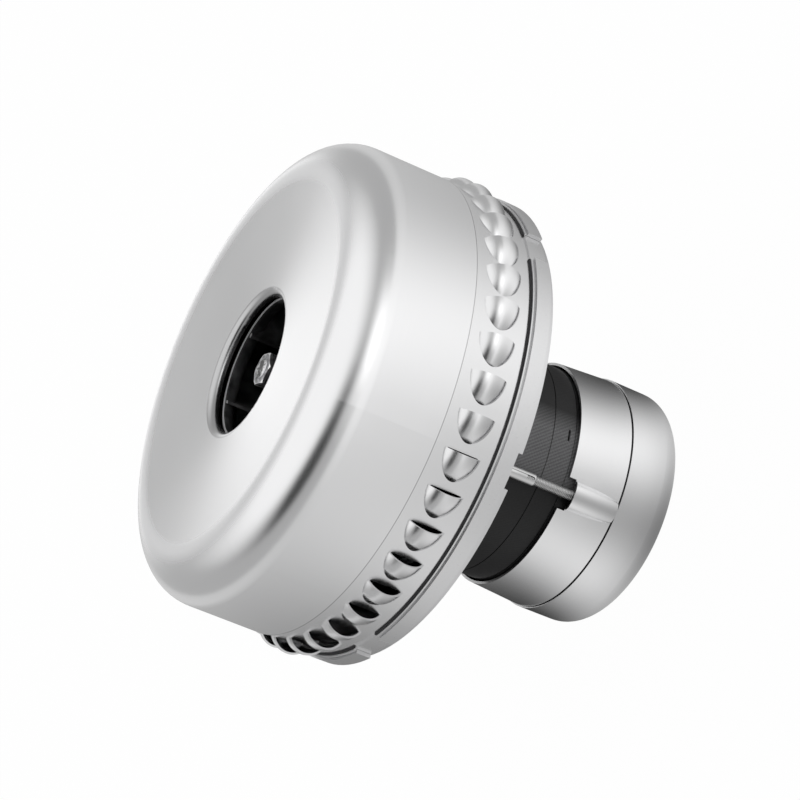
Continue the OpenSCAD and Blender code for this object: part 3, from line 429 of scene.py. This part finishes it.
def lamination(name, colour):
    """Stacked electrical sheet: a dark line at every sheet along the stack, blued by annealing."""
    sheet = 0.0005
    f = Finish(name, colour, 0.9, 0.5)
    line = f.z.ribs(sheet).below(0.3, 0.3)
    blued = f.noise(f.place, 70.0, 3.0)
    tint = f.blend(colour, (0.16, 0.17, 0.22), blued)
    return f.vary(colour=f.blend(tint, (0.05, 0.05, 0.055), line * 0.8),
                  roughness=0.42 + blued * 0.15 + line * 0.2, height=1.0 - line, depth=0.00008)


def enamelled_wire(name, colour):
    """Wound copper wire under red-brown enamel, with painted shade between the turns and a little varnish in
    random pools.
    """
    wire, winding_r = 0.0006, 0.022
    f = Finish(name, colour, 0.55, 0.3)
    turns = (f.radius() + f.z * 0.35).ribs(wire)
    layers = (f.angle() * winding_r).ribs(wire)
    strand = f.math("MAXIMUM", turns, layers * 0.85)
    pooled = f.noise(f.place, 180.0, 3.0)
    # Painted shade: the colour darkens between the turns, where the strand ribs are low, and is lighter on their
    # crests.
    tone = (strand * 0.8 + pooled * 0.3).clamp()
    return f.vary(colour=f.blend(scaled(colour, 0.25), scaled(colour, 1.25), tone),
                  roughness=0.28 + pooled * 0.2, height=strand, depth=0.0002)


def turned_copper(name, colour):
    """Commutator copper with the dark film that the brushes leave."""
    f = Finish(name, colour, 1.0, 0.25)
    rings = f.noise(f.combine(0.0, 0.0, f.z * 5000.0), 1.0, 2.0)
    film = f.z.near(BRUSH_Z, BRUSH_HALF, 0.0008)
    return f.vary(colour=f.blend(colour, (0.22, 0.12, 0.08), film * 0.7 + rings * 0.1),
                  roughness=0.22 + rings * 0.12, height=rings, depth=0.00001)


def pressed_carbon(name, colour):
    """Pressed carbon: dull black with a fine sparkle of graphite."""
    f = Finish(name, colour, 0.15, 0.6)
    grain = f.noise(f.place, 3000.0, 3.0, 0.7)
    return f.vary(colour=f.blend(scaled(colour, 0.6), scaled(colour, 2.0), grain),
                  roughness=0.5 + grain * 0.2, height=grain, depth=0.00003)


def brass_sheet(name, colour):
    """Tarnished brass sheet, blackened by painted shade at the terminal tabs' outer ends, where they sit in the
    dark slit.
    """
    f = Finish(name, colour, 1.0, 0.28)
    tarnish = f.noise(f.place, 160.0, 3.0)
    # Painted shade at the tabs' outer ends.
    slit_shade = f.radius().above(TAB_END_R, 0.001) * f.z.above(TAB_Z, 0.0005)
    brass = f.blend(scaled(colour, 0.7), colour, tarnish)
    return f.vary(colour=f.blend(brass, (0.02, 0.018, 0.015), slit_shade),
                  roughness=0.22 + tarnish * 0.2, height=tarnish, depth=0.00001)


def dress_nodes():
    """Every carried-over piece gets its finish; pieces of one sheet share one."""
    finishes = {
        satin_sheet("can_satin", (0.80, 0.80, 0.805), 0.23, 1, can_shade_and_crown): ["fan_can"],
        satin_sheet("ring_satin", (0.78, 0.78, 0.785), 0.25, 2): ["louvre_ring"],
        satin_sheet("sleeve_satin", (0.87, 0.87, 0.875), 0.24, 3): ["motor_sleeve"],
        satin_sheet("cap_satin", (0.84, 0.84, 0.845), 0.24, 4): ["end_cap"],
        cast_rim("flange_cast", (0.74, 0.74, 0.745), 0.27): ["mounting_flange"],
        sheet_aluminium("plate_aluminium", (0.76, 0.76, 0.78), 0.3): [
            "stage_plate", "return_guide", "impeller_spacer", "front_bush"],
        impeller_shaded_sheet("impeller_shaded", (0.78, 0.78, 0.79), (0.04, 0.04, 0.041), 0.42): [
            "front_impeller_plate", "front_impeller_blades", "front_impeller_shroud",
            "rear_impeller_plate", "rear_impeller_blades", "rear_impeller_shroud"],
        black_moulding("frame_black", (0.012, 0.012, 0.0125), 0.42): ["front_frame", "rear_frame"],
        plain_moulding("fan_black", (0.03, 0.03, 0.031), 0.5): ["cooling_fan"],
        plain_moulding("hub_brown", (0.09, 0.035, 0.018), 0.45): ["commutator_hub"],
        gasket_rubber("gasket_black"): ["pan_gasket"],
        plated_screw("screw_zinc", (0.72, 0.72, 0.72), 0.28): [
            "pan_screws", "through_bolts", "bolt_tubes", "bearing_bush", "fan_washer"],
        plated_nut("nut_steel", (0.42, 0.42, 0.43), 0.32): ["fan_nut", "cooling_fan_nut"],
        ground_steel("shaft_steel", (0.62, 0.62, 0.63), 0.2): [
            "rotor_shaft", "front_bearing_outer", "front_bearing_balls", "front_bearing_inner",
            "rear_bearing_outer", "rear_bearing_balls", "rear_bearing_inner", "wave_washer",
            "brush_spring_a", "brush_spring_b"],
        lamination("core_sheet", (0.30, 0.30, 0.32)): ["stator_core", "armature_core"],
        enamelled_wire("copper_wire", (0.42, 0.13, 0.05)): [
            "field_coil_a", "field_coil_b", "armature_windings"],
        turned_copper("commutator_copper", (0.72, 0.38, 0.22)): ["commutator"],
        pressed_carbon("brush_carbon", (0.03, 0.03, 0.032)): ["carbon_brush_a", "carbon_brush_b"],
        brass_sheet("holder_brass", (0.72, 0.55, 0.24)): [
            "terminal_tabs", "brush_holder_a", "brush_holder_b", "brush_cap_a", "brush_cap_b"],
    }
    for material, nodes in finishes.items():
        for node in nodes:
            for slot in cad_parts[node].material_slots:
                slot.material = material
    missing = set(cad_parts) - {node for nodes in finishes.values() for node in nodes}
    if missing:
        raise ValueError(f"no finish for {sorted(missing)}")


# New pieces

def grid_mesh(name, sheets, material):
    """One object from sheets of points.

    Each sheet is rows of a closed loop, from a pole to a pole. Point j of row i meets its neighbours in loop and
    row in a quad, and the points of a pole are merged.
    """
    points, quads, start = [], [], 0
    for rows in sheets:
        rows = np.asarray(rows, dtype=float)
        n, m = rows.shape[:2]
        i = np.arange(n - 1)[:, None]
        j = np.arange(m)[None, :]
        k = (j + 1) % m
        corners = [i * m + j, i * m + k, (i + 1) * m + k, (i + 1) * m + j]
        quads.append(start + np.stack(corners, axis=-1).reshape(-1, 4))
        points.append(rows.reshape(-1, 3))
        start += n * m
    mesh = bpy.data.meshes.new(name)
    mesh.from_pydata(np.concatenate(points).tolist(), [], np.concatenate(quads).tolist())
    merged = bmesh.new()
    merged.from_mesh(mesh)
    bmesh.ops.remove_doubles(merged, verts=merged.verts, dist=1e-7)
    merged.to_mesh(mesh)
    merged.free()
    mesh.polygons.foreach_set("use_smooth", np.ones(len(mesh.polygons), dtype=bool))
    mesh.materials.append(material)
    piece = bpy.data.objects.new(name, mesh)
    bpy.context.collection.objects.link(piece)
    return piece


def bolt_points(centre_x):
    """A long bolt around the upright line through centre_x, from its chamfered end up to its domed head.

    The radius is the shank's, less a groove whose depth is a rounded wave of height / pitch - angle / turn. The
    thread fades out over one pitch at its upper end, and the bolt's end is chamfered.
    """
    around, thread_rows = 40, 440
    end_r, chamfer_slope = 0.0014, 1.1
    a = np.linspace(0, 2 * math.pi, around, endpoint=False)[None, :]
    z = np.concatenate([
        np.linspace(BOLT_END_Z, THREAD_TOP_Z + THREAD_PITCH, thread_rows),
        [0.0700, 0.0800, BOLT_HEAD_Z - 0.0002, BOLT_HEAD_Z]])[:, None]
    wave = 0.5 - 0.5 * np.cos(2 * math.pi * (z / THREAD_PITCH - a / (2 * math.pi)))
    fade = np.clip((THREAD_TOP_Z - z) / THREAD_PITCH + 1, 0, 1)
    shank = BOLT_R - THREAD_DEPTH * wave ** 0.7 * fade
    shank = np.minimum(shank, end_r + (z - BOLT_END_Z) * chamfer_slope)
    head_r = np.array([0.0038, 0.0039, 0.0039, 0.0036, 0.0027, 0.0012, 0.0])[:, None]
    head_z = BOLT_HEAD_Z + np.array([0.0, 0.0002, 0.0012, 0.0019, 0.0023, 0.0024, 0.0024])[:, None]
    ones = np.ones_like(a)
    r = np.concatenate([0.0 * ones, shank, head_r * ones])
    h = np.concatenate([[[BOLT_END_Z]], z, head_z]) * ones
    return np.stack([centre_x + r * np.cos(a), r * np.sin(a), h], axis=-1)


def threaded_bolts(material):
    """The two long bolts with their threads cut, in place of the plain ones."""
    bolts = grid_mesh("threaded_bolts", [bolt_points(BOLT_CIRCLE), bolt_points(-BOLT_CIRCLE)], material)
    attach(bolts, "stator")
    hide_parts("through_bolts")


# Light and backdrop

def plain_floor():
    """A wide pale floor that the end cap stands on.

    The camera sees it as white with the unit's faint shadow. Metal mirrors it as a pool of light. Further out it
    is pale all round and brightest on the soft box's side. Close by it is dark but for two bright sides, and
    dimmer still under the unit.
    """
    size = 6.0
    mesh = bpy.data.meshes.new("floor")
    corners = [(-size, -size, 0), (size, -size, 0), (size, size, 0), (-size, size, 0)]
    mesh.from_pydata(corners, [], [(0, 1, 2, 3)])
    floor = bpy.data.objects.new("floor", mesh)
    bpy.context.collection.objects.link(floor)
    f = Finish("floor_white", (0.8, 0.8, 0.8), 0.0, 0.9, Specular_IOR_Level=0.0)
    out = f.radius()
    bright_sides = f.lobe(49, 9.0) + f.lobe(315, 9.0) * 0.8
    third_side = f.lobe(120, 4.0) * out.above(0.26, 0.12) * 0.35
    close = bright_sides + third_side + 0.03
    far = f.lobe(31, 5.4) * 0.55 + 0.70
    clear_of_unit = out.above(0.062, 0.03) * 0.4 + 0.6
    pool = (close + (far - close) * out.above(0.34, 0.55)) * clear_of_unit
    seen, mirrored, through = f.ray("Is Camera Ray"), f.ray("Is Glossy Ray"), f.ray("Is Transmission Ray")
    glow = f.node("ShaderNodeEmission", {}, Strength=mirrored * (pool - 1.0) + 1.0)
    both = f.node("ShaderNodeMixShader")
    f.connect((seen * 0.98 + mirrored + through).clamp(), both.inputs[0])
    f.connect(f.shader.outputs[0], both.inputs[1])
    f.connect(glow.outputs[0], both.inputs[2])
    f.connect(both.outputs[0], f.tree.nodes["Material Output"].inputs["Surface"])
    mesh.materials.append(f.material)


def white_room():
    """A world that is white to the camera and through glass, and that lights and mirrors as a plain studio.

    Grey walls rise to a broad bright ceiling. A soft box stands low to one side and a narrow one behind. A dark
    cloth hangs high across from the soft box.
    """
    world = bpy.data.worlds.new("white_room")
    world.use_nodes = True
    room = Nodes(world.node_tree, "Generated")
    wall, ceiling, darkest = 0.49, 1.12, 0.02
    up = room.z.above(0.64, 0.34)
    side = room.lobe(30, 18.0) * room.z.below(0.325, 0.28) * 1.2
    behind = room.lobe(178, 73.0) * room.z.below(0.27, 0.1)
    cloth = room.lobe(325, 7.6) * room.z.above(0.50, 0.32) * (1.0 - up) * 2.0
    light = room.math("MAXIMUM", up * (ceiling - wall) + side + behind - cloth + wall, darkest)
    direct = (room.ray("Is Camera Ray") + room.ray("Is Transmission Ray")).clamp()
    back = world.node_tree.nodes["Background"]
    back.inputs["Color"].default_value = (1.0, 1.0, 1.0, 1.0)
    room.connect(light + direct * (1.0 - light), back.inputs["Strength"])
    bpy.context.scene.world = world


photo_camera()
plain_floor()
white_room()

dress_nodes()
threaded_bolts(cut_thread("bolt_steel", (0.86, 0.86, 0.86), 0.25))

bpy.context.scene.view_settings.view_transform = "Standard"
